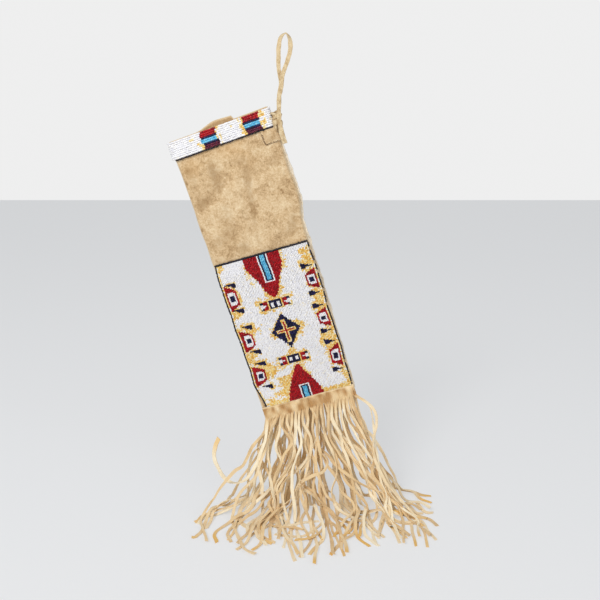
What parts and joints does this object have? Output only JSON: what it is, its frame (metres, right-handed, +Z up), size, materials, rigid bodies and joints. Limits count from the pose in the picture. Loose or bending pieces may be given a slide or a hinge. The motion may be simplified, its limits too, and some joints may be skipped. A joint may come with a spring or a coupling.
{
  "type": "beaded pipe bag",
  "caption": "Long flat hide pouch, open at the top, with a beaded mouth band and front panel, a thong loop at one corner and a long hide fringe along its foot.",
  "frame": {"origin": "inside of the hanging loop's top, where a hook bears", "axes": "+Z up, -Y out of the beaded front, +X to the right as the front is seen; the bag hangs 17.3 degrees off upright because its loop is tied to one corner, and its fringe rests on a table at Z -0.6016"},
  "size_m": [0.3472, 0.195, 0.6032],
  "materials": {
    "hide": "soft smoked hide, matt",
    "fringe": "soft hide, paler than the bag, matt",
    "thong": "pale hide thong, matt",
    "white": "opaque chalk-white glass beads",
    "red": "red glass beads",
    "wine": "dark wine-red glass beads",
    "navy": "opaque dark blue glass beads",
    "turquoise": "opaque light blue glass beads",
    "yellow": "opaque yellow glass beads",
    "edge": "opaque near-black glass beads"
  },
  "bodies": {
    "root": {"bag_hide": "hide", "band_edging": "edge", "band_navy_1": "navy", "band_navy_2": "navy", "band_red_1": "red", "band_red_2": "red", "band_turquoise_1": "turquoise", "band_turquoise_2": "turquoise", "band_wine_1": "wine", "band_wine_2": "wine", "corner_patch": "hide", "cross": "yellow", "cross_core": "red", "diamond": "navy", "feather_left_1_lower": "navy", "feather_left_1_upper": "navy", "feather_left_2_lower": "navy", "feather_left_2_upper": "navy", "feather_left_3_lower": "navy", "feather_left_3_upper": "navy", "feather_right_1_lower": "navy", "feather_right_1_upper": "navy", "feather_right_2_lower": "navy", "feather_right_2_upper": "navy", "feather_right_3_lower": "navy", "feather_right_3_upper": "navy", "fringe_back": "fringe", "fringe_front": "fringe", "hanging_loop": "thong", "loop_knot": "thong", "low_bar_navy": "navy", "low_bar_turquoise": "turquoise", "low_bar_white": "white", "low_triangle": "red", "lower_box": "navy", "lower_fork_left": "red", "lower_fork_right": "red", "mouth_band": "white", "panel_edging": "edge", "panel_field": "white", "side_left_1": "red", "side_left_2": "red", "side_left_3": "red", "side_right_1": "red", "side_right_2": "red", "side_right_3": "red", "square_left_1": "white", "square_left_2": "white", "square_left_3": "white", "square_right_1": "white", "square_right_2": "white", "square_right_3": "white", "top_bar_navy": "navy", "top_bar_turquoise": "turquoise", "top_bar_white": "white", "top_triangle": "red", "upper_box": "navy", "upper_fork_left": "red", "upper_fork_right": "red"}
  },
  "joints": []
}
